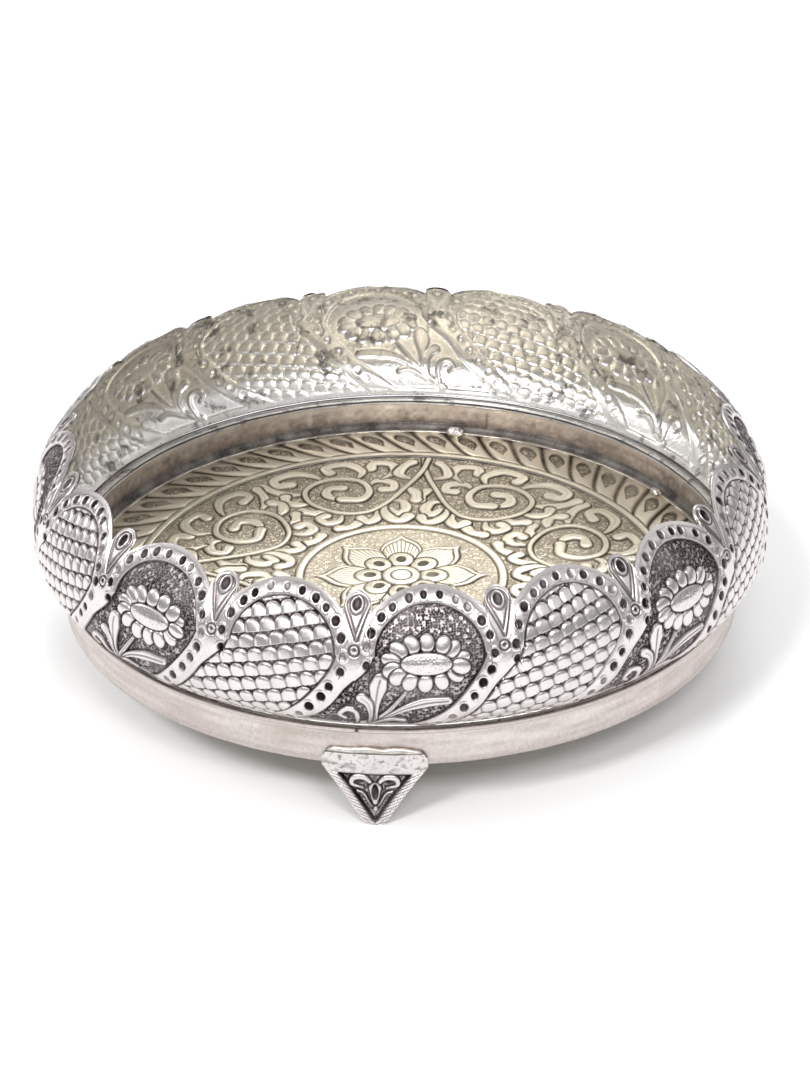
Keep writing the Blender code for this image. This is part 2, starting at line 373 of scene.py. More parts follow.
def sheet_piece(name, front, back, material, back_material):
    """A closed piece of sheet: a fine front grid and a back grid with half the steps.

    front and back each hold grids of points, normals and darkness (tarnish, and painted shade in places)."""
    rows, columns = front[0].shape[:2]
    back_rows, back_columns = back[0].shape[:2]
    first_back = rows * columns
    front_faces = grid_faces(rows, columns, 0, False)
    quads = np.vstack([front_faces, grid_faces(back_rows, back_columns, first_back, True)])
    fine = np.arange(rows * columns).reshape(rows, columns)
    coarse = first_back + np.arange(back_rows * back_columns).reshape(back_rows, back_columns)
    triangles = np.vstack([
        bridge(fine[0], coarse[0], False),
        bridge(fine[-1], coarse[-1], True),
        bridge(fine[:, 0], coarse[:, 0], True),
        bridge(fine[:, -1], coarse[:, -1], False),
    ])
    points = np.vstack([front[0].reshape(-1, 3), back[0].reshape(-1, 3)])
    normals = np.vstack([front[1].reshape(-1, 3), back[1].reshape(-1, 3)])
    tarnish_and_shade = np.concatenate([front[2].ravel(), back[2].ravel()])
    piece = mesh_object(name, points, quads, triangles, material, normals, tarnish_and_shade)
    piece.data.materials.append(back_material)
    index = np.zeros(len(piece.data.polygons), np.int32)
    index[len(front_faces):] = 1
    piece.data.polygons.foreach_set("material_index", index)
    return piece


# ---- the wall's shape

def wall_radius(z):
    low = np.clip((BULGE_Z - z) / (BULGE_Z - WALL_FOOT_Z), 0, None)
    high = np.clip((z - BULGE_Z) / (RIM_TOP_Z - BULGE_Z), 0, None)
    lower = BULGE_R - (BULGE_R - WALL_FOOT_R) * low**LOWER_CURVE
    upper = BULGE_R - (BULGE_R - RIM_R) * high**UPPER_CURVE
    return np.where(z < BULGE_Z, lower, upper)


def wall_length_table():
    """Heights and the length up the wall's curve (mm) at each."""
    z = np.linspace(WALL_FOOT_Z, RIM_TOP_Z, 1500)
    r = wall_radius(z)
    length = np.concatenate([[0], np.cumsum(np.hypot(np.diff(z), np.diff(r)))])
    return z, length / MM


def rim_drop(turn):
    """How far the scalloped rim lies below the arches' tops; turn counts panels."""
    part = np.abs((turn + 0.5) % 1.0 - 0.5)
    from_arch = np.minimum(part * PANEL_WIDTH, ARCH_R)
    from_bud = np.minimum((0.5 - part) * PANEL_WIDTH, BUD_R)
    arch = ARCH_R - np.sqrt(ARCH_R**2 - from_arch**2)
    bud = BUD_DROP + BUD_R - np.sqrt(BUD_R**2 - from_bud**2)
    bud = np.where(from_bud >= BUD_R, arch, bud)
    return np.minimum(arch, bud) * RIM_STEEPNESS * MM


def wall_grid():
    """The wall's plain outer face, and where each of its points lies on the ornament."""
    turn = np.arange(WALL_COLUMNS) / WALL_COLUMNS * PANELS - PANELS / WALL_SECTORS / 4
    share = np.linspace(0, 1, WALL_ROWS)
    turn, share = np.meshgrid(turn, share)
    z = WALL_FOOT_Z + (RIM_TOP_Z - rim_drop(turn) - WALL_FOOT_Z) * share
    pattern = PANEL_AZIMUTH + turn * 360.0 / PANELS
    azimuth = np.radians(pattern - PANEL_CROWDING * np.sin(np.radians(pattern)))
    radius = wall_radius(z)
    x = radius * np.sin(azimuth)
    y = -radius * np.cos(azimuth)
    table_z, table_length = wall_length_table()
    length = np.interp(z, table_z, table_length)
    z = WALL_FOOT_Z + (z - WALL_FOOT_Z) * (1.0 + RIM_LEAN * y)
    return np.stack([x, y, z], -1), turn * PANEL_WIDTH, length


# ---- the wall's ornament

ARCH_CENTRE = 33.0      # up the wall
FIELD_R = 16.9          # inner radius of the arched border
BORDER_R = 19.8         # where its punched dots run
SWEEP_TOP = 21.0        # where the border starts down, from the panel's middle
SWEEP = 22.5            # how far it sweeps back by the wall's foot
SWEEP_POWER = 1.45
BORDER_HALF = 3.7
SCALE_RISE = 4.75
SCALE_WIDTH = 4.9
SCALE_TURN = 15.0       # degrees
FOOT_STRIP = 2.4        # plain strip along the wall's foot
RIM_WEAR = 0.25         # how much tarnish is left along the rubbed rim
DOT_PITCH = 5.4


def sweep_line(y):
    """Across position of the border below the arch's middle."""
    low = np.clip((ARCH_CENTRE - y) / (ARCH_CENTRE - 3.0), 0, None)
    return SWEEP_TOP - SWEEP * low**SWEEP_POWER


def sweep_lean(y):
    """Cosine of the border's lean, which turns across distances into true ones."""
    slope = sweep_line(y + 0.5) - sweep_line(y - 0.5)
    return 1.0 / np.sqrt(1.0 + slope**2)


def field_distance(x, y):
    """Distance from a panel's field, negative inside; x is from the panel's middle."""
    arch = np.hypot(x, y - ARCH_CENTRE) - FIELD_R
    lean = sweep_lean(y)
    right = sweep_line(y) - BORDER_HALF / lean
    neighbour = sweep_line(y) + BORDER_HALF / lean - PANEL_WIDTH
    blend = ease(ARCH_CENTRE + 3.0, ARCH_CENTRE - 12.0, y)
    left = -FIELD_R * (1 - blend) + neighbour * blend
    below = np.maximum(left - x, x - right) * lean
    distance = np.where(y > ARCH_CENTRE, arch, below)
    return np.maximum(distance, FOOT_STRIP - y)


def border_path():
    """The dotted middle of a panel's border, from its left end over the arch and down."""
    points = []
    for angle in np.radians(np.arange(196, -1, -6)):
        points.append((BORDER_R * math.cos(angle), ARCH_CENTRE + BORDER_R * math.sin(angle)))
    for y in np.arange(ARCH_CENTRE - 2, 4.5, -2.0):
        points.append((float(sweep_line(y)) - 0.6, y))
    return np.array(points)


def stamp_dots(sheet, middle, number):
    path = border_path()
    length = np.concatenate([[0], np.cumsum(np.hypot(*np.diff(path, axis=0).T))])
    count = int(length[-1] / DOT_PITCH)
    for k in range(count):
        jitter = scatter(k, number, 11)
        at = (k + 0.5 + 0.24 * (jitter - 0.5)) * length[-1] / count
        x = np.interp(at, length, path[:, 0]) + 0.5 * sway(k, number, 12)
        y = np.interp(at, length, path[:, 1]) + 0.4 * sway(k, number, 13)
        fade = 0.55 if y < 14 or scatter(k, number, 14) > 0.86 else 1.0
        size = 1.38 + 0.3 * sway(k, number, 15)
        sheet.pit((middle + x, y), size * 0.94, size * 1.12, 0.0, 0.8 * fade, 1.0 * fade)


def stamp_bud(sheet, middle):
    """A teardrop bud between two arches, with a little boss below it."""
    top = (middle, ARCH_CENTRE + 16.2)
    tip = (middle + 0.4, ARCH_CENTRE + 5.2)
    sheet.stroke([top, tip], [BUD_R - 0.2, 0.5], height=-0.35, crown=0.35)
    low, high = np.array(tip) - 7, np.array(top) + 6
    where = sheet.near(low, high)
    x, y = sheet.x[where], sheet.y[where]
    t = np.clip((top[1] - y) / (top[1] - tip[1]), 0, 1)
    inner = np.hypot(x - middle, y - (top[1] - t * 11.0)) - (BUD_R - 0.2 - 3.9 * t)
    sheet.line(where, inner + 1.05, 0.36, 0.35, 0.85)
    sheet.oval((middle, ARCH_CENTRE + 16.3), 2.5, 3.2, 0, height=-0.35, crown=0.4)
    sheet.pit((middle, ARCH_CENTRE + 16.4), 1.65, 2.2, 0, 0.9, 1.0)
    sheet.oval((middle - 0.2, ARCH_CENTRE + 1.9), 1.6, 1.75, 0, height=-0.35, crown=0.4)
    sheet.pit((middle - 0.2, ARCH_CENTRE + 2.1), 0.7, 0.7, 0, 0.35, 0.9)


FLOWER_PETALS = 14
# Leaves and a curl beside the flower's stem: a path from the panel's middle, radii and vein
FLOWER_LEAVES = [
    ([(-17.0, 9.0), (-16.8, 17.0), (-16.4, 23.0), (-15.8, 26.0)], [0.8, 1.5, 2.9, 2.3], 0.8),
    ([(-19.0, 7.0), (-18.2, 12.5), (-18.9, 17.0), (-21.2, 19.2)], [0.7, 0.9, 1.5, 1.9], 0.4),
    ([(-15.8, 9.0), (-9.5, 14.4), (-2.5, 17.0), (5.0, 17.6)], [0.6, 1.3, 1.9, 1.5], 0.8),
    ([(-18.8, 5.6), (-12.8, 9.8), (-8.6, 9.2)], [0.6, 1.2, 1.3], 0.5),
    ([(-23.5, 4.0), (-22.4, 9.5), (-23.2, 13.6), (-26.2, 14.6), (-28.3, 12.0), (-26.6, 9.8)],
     [0.8, 1.0, 1.3, 1.2, 1.0, 0.9], 0.0),
]


def stamp_flower(sheet, middle, number):
    """A daisy on a stem, leaves and a curl, on the matted ground that work_wall stamps."""
    shift = 0.8 * sway(number, 3, 21)
    cx, cy = middle - 1.4 + shift, 31.0 + 0.8 * sway(number, 4, 22)

    stem = [(cx - middle - 4, 25), (-10.5, 17.5), (-17, 9), (-25, 2.8)]
    for points, radii, vein in [(stem, [0.7, 0.9, 1.2, 1.5], 0.5)] + FLOWER_LEAVES:
        path = smooth_path([(middle + px, py) for px, py in points])
        sheet.stroke(path, radii, vein=vein)
    for k in range(FLOWER_PETALS):
        angle = 2 * math.pi * (k + 0.5 + 0.25 * sway(k, number, 23)) / FLOWER_PETALS
        px, py = cx + 11.0 * math.cos(angle), cy + 6.7 * math.sin(angle)
        turn = math.degrees(math.atan2(math.sin(angle) / 0.62, math.cos(angle)))
        width = 2.55 + 0.5 * sway(k, number, 24)
        sheet.oval((px, py), 3.35, width, turn, height=-0.7, crown=0.7, shoulder=0.9)
    where, distance = sheet.oval((cx, cy), 8.1, 3.9, -2.0, height=-0.35, crown=0.75, shoulder=2.2)
    seeds, mark = punch_marks(sheet.x[where], sheet.y[where], 0.9, 25)
    texture = ease(-0.6, -1.4, distance) * ease(0.5, 0.1, seeds)
    sheet.height[where] -= 0.07 * texture
    sheet.darken(where, 0.22 * texture * (mark > 0.3))


def scale_field(x, y, seed):
    """Height and darkness of overlapping fish scales with their round tips up: oxide in the crescents,
    and painted shade under each scale's edge.
    """
    turn = math.radians(SCALE_TURN)
    u = x * math.cos(turn) + y * math.sin(turn)
    v = -x * math.sin(turn) + y * math.cos(turn)
    u = u + 0.35 * noise(x / 7, y / 7, seed)
    v = v + 0.35 * noise(x / 7, y / 7, seed + 1)
    row = np.floor(v / SCALE_RISE)
    rise = v - row * SCALE_RISE
    across = ((u / SCALE_WIDTH + 0.5 * (row % 2) + 0.5) % 1.0 - 0.5) * SCALE_WIDTH
    behind = ((u / SCALE_WIDTH + 0.5 * (row % 2)) % 1.0 - 0.5) * SCALE_WIDTH
    tip = np.hypot(across / 2.5, np.clip(rise - 1.95, 0, None) / 2.55)
    own = tip < 1.0
    crown = 0.36 * np.sqrt(np.clip(1 - (across / 2.7) ** 2, 0, 1)) * ease(1.0, 0.5, tip)
    under = -0.22 + 0.16 * np.sqrt(np.clip(1 - (behind / 2.7) ** 2, 0, 1))
    height = np.where(own, 0.12 + crown + 0.03 * rise, under)
    right = 0.6 + 0.4 * ease(-1.6, 0.9, across)
    crescent = bell(tip - 1.13, 0.19) * right
    height = -0.72 + height - 0.28 * crescent
    # Painted shade: darker just below each scale's edge, on the scale beneath it, and a little along the
    # inside of its rounded tip.
    shade = 0.30 * (1 - own) * ease(1.6, 1.0, tip) + 0.10 * own * ease(0.7, 1.0, tip)
    tarnish_and_shade = np.clip(1.05 * crescent + shade, 0, 1)
    return height, tarnish_and_shade


def work_wall(x, y):
    """Stamps the wall's whole ornament."""
    wobble_x = x + 0.45 * noise(x / 13.0, y / 13.0, 3)
    wobble_y = y + 0.35 * noise(x / 13.0, y / 13.0, 4)
    sheet = Sheet(wobble_x, wobble_y)
    width = PANELS * PANEL_WIDTH
    columns_each = WALL_COLUMNS // PANELS
    reach = columns_each * 3 // 4

    swept = sweep_line(sheet.y) - SWEEP_TOP
    own_x = (sheet.x + PANEL_WIDTH / 2 - swept) % PANEL_WIDTH
    own_x = own_x - PANEL_WIDTH / 2 + swept
    panel = np.round((sheet.x - own_x) / PANEL_WIDTH).astype(int) % PANELS
    distance = field_distance(own_x, sheet.y)
    sheet.height = -0.5 + 0.5 * ease(-0.4, 3.0, distance)
    arch_rim = np.hypot(own_x, sheet.y - ARCH_CENTRE) - (ARCH_R - 0.1)
    above = (sheet.y > ARCH_CENTRE + 3.0).astype(float)

    flowers = np.nonzero((distance < 0) & (panel % 2 == 0))
    sheet.ground(flowers, 1.05, 0.85, 31, 1.0)
    scales = np.nonzero((distance < 0) & (panel % 2 == 1))
    height, tarnish_and_shade = scale_field(own_x[scales], sheet.y[scales], 41)
    sheet.height[scales], sheet.tarnish_and_shade[scales] = height, tarnish_and_shade
    sheet.line(WHOLE, distance, 0.34, 0.42, 0.97)
    second = bell(arch_rim + 0.9, 0.3) * above
    sheet.height -= 0.12 * second + 0.3 * ease(-1.5, 0.1, arch_rim) * above
    sheet.darken(WHOLE, 0.35 * second)

    for number in range(PANELS):
        middle = number * PANEL_WIDTH
        column = number * columns_each + columns_each // 2
        columns = np.arange(column - reach, column + reach) % WALL_COLUMNS
        local_x = sheet.x[:, columns]
        local_x = (local_x - middle + width / 2) % width - width / 2
        part = Sheet(local_x, sheet.y[:, columns])
        part.height = sheet.height[:, columns]
        part.tarnish_and_shade = sheet.tarnish_and_shade[:, columns]
        if number % 2 == 0:
            stamp_flower(part, 0.0, number)
        stamp_dots(part, 0.0, number)
        stamp_bud(part, -PANEL_WIDTH / 2)
        stamp_bud(part, PANEL_WIDTH / 2)
        sheet.height[:, columns] = part.height
        sheet.tarnish_and_shade[:, columns] = part.tarnish_and_shade

    strip = ease(FOOT_STRIP + 0.2, FOOT_STRIP - 0.4, y)
    sheet.height = sheet.height * (1 - strip) - 0.35 * strip
    sheet.tarnish_and_shade = sheet.tarnish_and_shade * (1 - 0.7 * strip)
    sheet.tarnish_and_shade[-4:] *= RIM_WEAR
    return sheet


def make_wall(material, inner_material):
    plain, across, up = wall_grid()
    sheet = work_wall(across, up)
    normals = grid_normals(plain, True)
    front = plain + normals * (sheet.height * MM)[..., None]
    soft = soften(sheet.height)
    hollows = soft - soften(soft, 40)
    back_tarnish_and_shade = np.clip(0.25 * soften(sheet.tarnish_and_shade) + 1.1 * hollows, 0, 0.8)
    depth = (0.95 * soft - 0.05 - SHEET_THICKNESS) * MM
    back = plain + normals * depth[..., None]
    front = [front, grid_normals(front, True), sheet.tarnish_and_shade]
    back = [back, -grid_normals(back, True), back_tarnish_and_shade]
    step = WALL_COLUMNS // WALL_SECTORS
    for sector in range(WALL_SECTORS):
        columns = np.arange(sector * step, (sector + 1) * step + 1) % WALL_COLUMNS
        piece = sheet_piece("repousse_wall_part_%d" % (sector + 1), take(front, columns),
                            take(back, columns, 2), material, inner_material)
        settle(piece, "wall_silver", "repousse_wall")


def soften(field, passes=2):
    """A blurred copy, as the back of a worked sheet shows its front."""
    out = field
    for _ in range(passes):
        out = (np.roll(out, 1, 1) + 2 * out + np.roll(out, -1, 1)) / 4
        padded = np.vstack([out[:1], out, out[-1:]])
        out = (padded[:-2] + 2 * padded[1:-1] + padded[2:]) / 4
    return out


# ---- the floor

def floor_zone(inner_r, outer_r, rows, columns):
    angle = np.arange(columns) / columns * 2 * np.pi
    angle, radius = np.meshgrid(angle, np.linspace(inner_r, outer_r, rows))
    return angle, radius


def polar_sheet(angle, radius):
    return Sheet(radius * np.cos(angle), radius * np.sin(angle))


def polar(radius, degrees):
    angle = math.radians(degrees)
    return np.array([radius * math.cos(angle), radius * math.sin(angle)])


def ring_profile(sheet, radius, ring_r, half, height):
    """A raised plain ring with a chased line on each side."""
    near = np.nonzero(np.abs(radius - ring_r) < half + 1.5)
    distance = np.abs(radius[near] - ring_r) - half
    sheet.lay(near, distance, height - 0.25, 0.25, 0.7, 0.28)


# One module of the scroll work, an eighth of the way round, in millimetres: along the band
# and out from its middle.  Every other module is its mirror image.
SCROLL_MODULES = 8
SCROLL_MID = 63.0
SCROLL_START = -0.11     # radians from +X, where the first module begins
SCROLL_VINE = [(-0.6, 25), (0.6, 15), (4.5, 4), (12, -8), (23, -14.5), (35, -12), (41.5, -2),
               (39, 8.5), (29.5, 13), (20.5, 9), (18.5, 0.5), (23, -5), (30, -2.8)]
SCROLL_VINE_RADII = [1.3, 1.2, 1.2, 1.3, 1.5, 2.4]
SCROLL_LEAVES = [
    [(30, -2.8), (33, -0.2), (33.4, 3.6), (30.6, 6.6), (26.6, 5.6)],
    [(19, 4), (14.5, 8), (9.5, 6), (9.5, 1.5), (13, 1.5)],
    [(13, 9), (9, 14), (9.5, 20), (14.5, 21.5), (16, 17.5)],
    [(21, 10), (18.5, 16), (22, 22.5), (28, 22), (28, 18)],
    [(31, 13), (33, 18), (37, 22.5), (43, 22), (44, 17.5), (40.5, 16)],
    [(40, 6), (45, 9.5), (47.5, 14.5), (48.3, 20)],
    [(41.5, -1), (46, 1), (48.2, 5), (46.5, 8.5)],
    [(38.5, -8), (44, -8), (47.8, -4)],
    [(34, -12.5), (39, -17), (45, -16.5), (46, -12), (42, -11.5)],
    [(27, -14.5), (30, -20.5), (37, -22.8), (43, -21.5)],
    [(18, -13), (20, -19.5), (25.5, -22), (28, -18.5)],
    [(11, -7), (6, -8.5), (4.5, -14), (8.5, -17), (12, -14)],
    [(13.5, -9.5), (15, -16), (12, -21.5), (6.5, -22.5), (3.5, -19.5)],
    [(5, 3), (1.5, -2), (1, -7)],
    [(3.5, 9), (7.5, 12.5), (6, 18.5), (3.8, 22)],
]
SCROLL_LEAF_RADII = [0.6, 1.5, 2.25, 1.95, 1.85, 2.3]


def module_path(points, number):
    """A path of the scroll module, placed round the floor."""
    width = 2 * math.pi * SCROLL_MID / SCROLL_MODULES
    curve = smooth_path(points, 7)
    along = curve[:, 0] if number % 2 == 0 else width - curve[:, 0]
    angle = (number * width + along) / SCROLL_MID + SCROLL_START
    radius = SCROLL_MID + 1.03 * curve[:, 1]
    return np.stack([radius * np.cos(angle), radius * np.sin(angle)], -1)


def stamp_scrolls(sheet):
    """A running vine whose bends hold spirals of hooked leaves."""
    for number in range(SCROLL_MODULES):
        for k, leaf in enumerate(SCROLL_LEAVES):
            bend = 0.5 * sway(k, number, 53)
            points = [(x + bend * j / 2, y - bend * j / 3) for j, (x, y) in enumerate(leaf)]
            radii = np.array(SCROLL_LEAF_RADII) * (0.98 + 0.2 * scatter(k, number, 54))
            sheet.stroke(module_path(points, number), radii, -0.28, 0.34, 0.25, 0.42)
        sheet.stroke(module_path(SCROLL_VINE, number), SCROLL_VINE_RADII, -0.2, 0.34, 0.25, 0.42)


def work_scroll_band(angle, radius):
    sheet = polar_sheet(angle, radius)
    sheet.ground(WHOLE, 0.6, 0.75, 52, 0.68)
    stamp_scrolls(sheet)
    return sheet


LEAF_COUNT = 54
LEAF_INNER_R = 93.9
LEAF_OUTER_R = 110.0
LEAF_EYE_R = 103.4      # where the matted eyes are widest


def work_leaf_border(angle, radius):
    """Slanting leaves with matted eyes between the outer ring and the floor's edge."""
    sheet = polar_sheet(angle, radius)
    share = np.clip((radius - LEAF_INNER_R) / (LEAF_OUTER_R - LEAF_INNER_R), 0, 1.2)
    cell = angle / (2 * np.pi) * LEAF_COUNT - 1.15 * share**0.6
    number = np.floor(cell)
    cell = cell - number - 0.5
    pitch = 2 * np.pi * radius / LEAF_COUNT
    gap = np.abs(np.abs(cell) - 0.5) * pitch * 0.55
    zone = np.nonzero(radius > LEAF_INNER_R - 1.0)
    sheet.height = -0.25 + 0.22 * ease(0.2, 2.4, gap)
    sheet.line(zone, gap[zone] - 0.1, 0.55, 0.35, 0.95)
    u = cell * pitch * 0.72
    v = radius - LEAF_EYE_R
    eye = np.sqrt((u / (2.1 * ease(-6.5, 1.5, v) + 0.15)) ** 2 + (v / 4.2) ** 2)
    inside = np.nonzero(eye < 1.0)
    sheet.ground(inside, 0.5, 0.75, 61, 0.8)
    sheet.line(zone, (eye[zone] - 1.0) * 1.7, 0.34, 0.2, 0.9)
    ring_profile(sheet, radius, 92.4, 1.45, 0.05)
    # Painted shade: beyond the leaves the floor's edge darkens into the corner under the solder fillet.
    outside = ease(LEAF_OUTER_R + 0.3, LEAF_OUTER_R + 1.2, radius)
    sheet.height = sheet.height * (1 - outside) - 0.2 * outside
    sheet.tarnish_and_shade = np.maximum(sheet.tarnish_and_shade * (1 - outside), 0.6 * outside)
    return sheet


PETALS = 8
PETAL_HALF = 22.5       # degrees from a petal's middle to its edge


def work_medallion(angle, radius):
    """A rosette of round petals inside pointed, fluted ones, in a plain ring."""
    sheet = polar_sheet(angle, radius)
    sheet.ground(WHOLE, 0.5, 0.8, 71, 0.5)
    off = np.abs((np.degrees(angle) + PETAL_HALF) % (2 * PETAL_HALF) - PETAL_HALF)
    outline = 19.6 + 6.6 * (1 - (off / PETAL_HALF) ** 2.2) + 3.8 * np.exp(-off / 3.0)
    sheet.lay(WHOLE, (radius - outline) * 0.8, -0.3, 0.22, 1.0, 0.45)
    inner_edge = (radius - (outline - 2.6 - 1.2 * np.exp(-off / 3.0))) * 0.85
    sheet.line(WHOLE, inner_edge, 0.38, 0.2, 0.9)
    between = (PETAL_HALF - off) * np.pi / 180 * radius
    between_petals = np.where(radius < outline, between, 9.0)
    sheet.line(WHOLE, between_petals, 0.36, 0.2, 0.9)
    flute = np.abs(np.sin(np.radians(off) * 46))
    on_flutes = ease(15.0, 16.0, radius) * ease(-0.1, -0.7, inner_edge)
    cut = on_flutes * ease(0.45, 0.0, flute)
    sheet.height -= 0.18 * cut
    sheet.darken(WHOLE, 0.85 * cut)
    for k in range(PETALS):
        bearing = 2 * PETAL_HALF * k
        sheet.oval(polar(11.2, bearing), 5.0, 4.5, bearing, height=-0.22, crown=0.4, shoulder=1.4)
        sheet.pit(polar(10.8, bearing), 2.3, 1.8, bearing, 0.4, 0.8)
    sheet.oval((0, 0), 6.7, 6.7, 0, height=-0.1, crown=0.35, shoulder=1.2)
    ring = np.nonzero(radius < 6.0)
    sheet.line(ring, radius[ring] - 3.6, 0.32, 0.25, 0.9)
    ring_profile(sheet, radius, 35.2, 1.6, 0.05)
    return sheet


# Name, work, inner and outer radius, rows, columns and sectors
FLOOR_PARTS = [
    ("floor_medallion", work_medallion, 0.25, 37.2, 121, 640, 1),
    ("floor_scrolls", work_scroll_band, 37.2, 90.5, 161, 1920, 4),
    ("floor_leaf_border", work_leaf_border, 90.5, FLOOR_R / MM, 65, 2304, 2),
]


def make_floor(material, under_material):
    for name, work, inner_r, outer_r, rows, columns, sectors in FLOOR_PARTS:
        angle, radius = floor_zone(inner_r, outer_r, rows, columns)
        sheet = work(angle, radius)
        top = FLOOR_TOP / MM + sheet.height
        below = FLOOR_TOP / MM - 1.15 + 0.45 * soften(sheet.height)
        below = np.maximum(below, FLOOR_BOX[0].z / MM)
        front = np.stack([sheet.x, sheet.y, top], -1) * MM
        back = np.stack([sheet.x, sheet.y, below], -1) * MM
        front = [front, -grid_normals(front, True), sheet.tarnish_and_shade]
        back = [back, grid_normals(back, True), 0.4 * soften(sheet.tarnish_and_shade)]
        step = columns // sectors
        for sector in range(sectors):
            pick = np.arange(sector * step, (sector + 1) * step + 1)[::-1] % columns
            label = name if sectors == 1 else "%s_%d" % (name, sector + 1)
            piece = sheet_piece(label, take(front, pick), take(back, pick, 2),
                                material, under_material)
            settle(piece, "floor_silver", "floor_disc")


# ---- turned rings

def rounded_outline(points, radius, steps=4, longest=1.2):
    """A closed outline with rounded corners and no long straight steps."""
    points = [np.array(p, float) for p in points]
    out = []
    for k, corner in enumerate(points):
        before = points[k - 1]
        after = points[(k + 1) % len(points)]
        back_step = (before - corner) / np.linalg.norm(before - corner) * radius
        next_step = (after - corner) / np.linalg.norm(after - corner) * radius
        for t in np.linspace(0, 1, steps + 1):
            blend = (1 - t) ** 2 * (corner + back_step) + 2 * t * (1 - t) * corner
            out.append(blend + t**2 * (corner + next_step))
    dense = []
    for k, point in enumerate(out):
        after = out[(k + 1) % len(out)]
        pieces = max(1, int(np.linalg.norm(after - point) / longest))
        for part in range(pieces):
            dense.append(point + (after - point) * part / pieces)
    return np.array(dense)


def turned_ring(name, outline, columns, work, material, slot, node):
    """A closed ring from an outline of (radius, height) in millimetres.

    work(azimuth, radius, height) gives each point's new radius and height and its darkness: tarnish, and
    on some rings painted shade and highlights."""
    azimuth = np.arange(columns) / columns * 2 * np.pi
    azimuth, index = np.meshgrid(azimuth, np.arange(len(outline)))
    radius, height = outline[index, 0], outline[index, 1]
    radius, height, shade = work(azimuth, radius, height)
    points = np.stack([radius * np.sin(azimuth), -radius * np.cos(azimuth), height], -1) * MM
    here = np.arange(index.size).reshape(index.shape)
    right, up = np.roll(here, -1, 1), np.roll(here, -1, 0)
    quads = np.stack([here, right, np.roll(up, -1, 1), up], -1).reshape(-1, 4)
    none = np.zeros((0, 3), int)
    piece = mesh_object(name, points.reshape(-1, 3), quads, none, material, None, shade)
    settle(piece, slot, node)


def make_band(material):
    low, high = box_heights("base_band")
    outer = BAND_R / MM
    inner = outer - 1.6
    outline = rounded_outline([(outer, low), (outer, high), (inner, high), (inner, low)], 0.35)
    lap = math.radians(BAND_LAP)

    def work(azimuth, radius, height):
        dents = 0.16 * noise(azimuth * 6, height / 9, 81)
        dents = dents + 0.05 * noise(azimuth * 30, height / 3, 82)
        from_lap = (azimuth - lap) * outer
        lapped = ease(0.0, 0.25, from_lap) * ease(10.0, 8.0, from_lap)
        inside = ease(outer - 0.6, inner + 0.2, radius)
        edge = 0.12 * noise(azimuth * 14, 2.0, 83)
        radius = radius + dents * 0.8 - 0.3 * lapped * inside - 0.12
        height = height + edge * ease(low + 2, low, height)
        inside = ease(outer - 0.5, inner + 0.3, radius)
        mottle = 0.5 + 0.3 * noise(azimuth * 22, height / 4, 84)
        mottle += 0.3 * noise(azimuth * 75, height / 1.3, 89)
        # Painted shade: the inside darkens towards its bottom, where it meets the floor.
        low_shade = ease(low + 7.5, low + 2.0, height)
        seam = bell(from_lap, 0.35)
        # Painted highlight: the inside lightens along its top.
        top_highlight = ease(high - 2.4, high - 0.9, height)
        streak = 0.5 + 0.5 * noise(azimuth * 8, height * 1.1, 90)
        # The outer face: random streaks, and darker towards its lower edge.
        outer_shade = (1 - inside) * (0.20 * streak + 0.10 * ease(low + 4.0, low, height))
        # The inside: mottled tarnish and a dark lap seam, with the painted shade above; the painted
        # highlight lightens it at the top.
        inner_shade = inside * (0.02 + 0.42 * mottle + 0.4 * low_shade + 0.5 * seam)
        shade = inner_shade * (1 - 0.8 * top_highlight) + outer_shade
        return radius, height, np.clip(shade, 0, 1)

    turned_ring("base_band_ring", outline, 960, work, material, "band_silver", "base_band")


def make_seat_ring(material):
    low, high = box_heights("wall_seat_ring")
    outer = SEAT_BOX[1].x / MM
    inner = outer - 2.8
    quarter = (high - low) / 4
    outline = rounded_outline([
        (outer, low), (outer, high), (inner + 0.6, high), (inner + 0.05, high - 0.5 * quarter),
        (inner + 0.75, low + 2 * quarter), (inner, low + quarter), (inner + 0.6, low)], 0.18)

    def work(azimuth, radius, height):
        wave = 0.16 * noise(azimuth * 9, height / 8, 85)
        radius = radius + wave + 0.06 * noise(azimuth * 40, height, 86)
        height = height + 0.6 * wave
        groove = bell(height - low - 2 * quarter, 0.35) * ease(outer - 1.0, inner + 0.9, radius)
        mottle = 0.5 + 0.5 * noise(azimuth * 18, height / 2, 87)
        return radius, height, np.clip(0.18 * mottle + 0.85 * groove, 0, 1)

    turned_ring("wall_seat_moulding", outline, 960, work, material, "band_silver", "wall_seat_ring")


def make_bead_wire(material):
    low, high = box_heights("bead_wire")
    size = (high - low) / 2 * 1.04
    middle_z = (low + high) / 2
    middle_r = BEAD_BOX[1].x / MM - size + 0.03
    sides = 20
    outline = []
    for side in range(sides):
        angle = 2 * math.pi * side / sides
        outline.append((middle_r + size * math.cos(angle), middle_z + size * math.sin(angle)))
    joint = math.radians(BEAD_JOINT)

    def work(azimuth, radius, height):
        wave = 0.08 * noise(azimuth * 12, 1.0, 88)
        pinch = 1.0 - 0.35 * bell((azimuth - joint) * middle_r, 0.45)
        radius = middle_r + (radius - middle_r) * pinch + wave
        height = middle_z + (height - middle_z) * pinch + 0.5 * wave
        # Painted shade: the wire darkens towards its top and bottom, where it tucks against the parts
        # above and below it.
        crevice_shade = ease(middle_z + 0.3 * size, high, height) + ease(middle_z - 0.4 * size, low, height)
        gap = bell((azimuth - joint) * middle_r, 0.4)
        return radius, height, np.clip(0.08 + 0.7 * crevice_shade + gap, 0, 1)

    turned_ring("bead_wire_moulding", np.array(outline), 1440, work, material, "band_silver", "bead_wire")


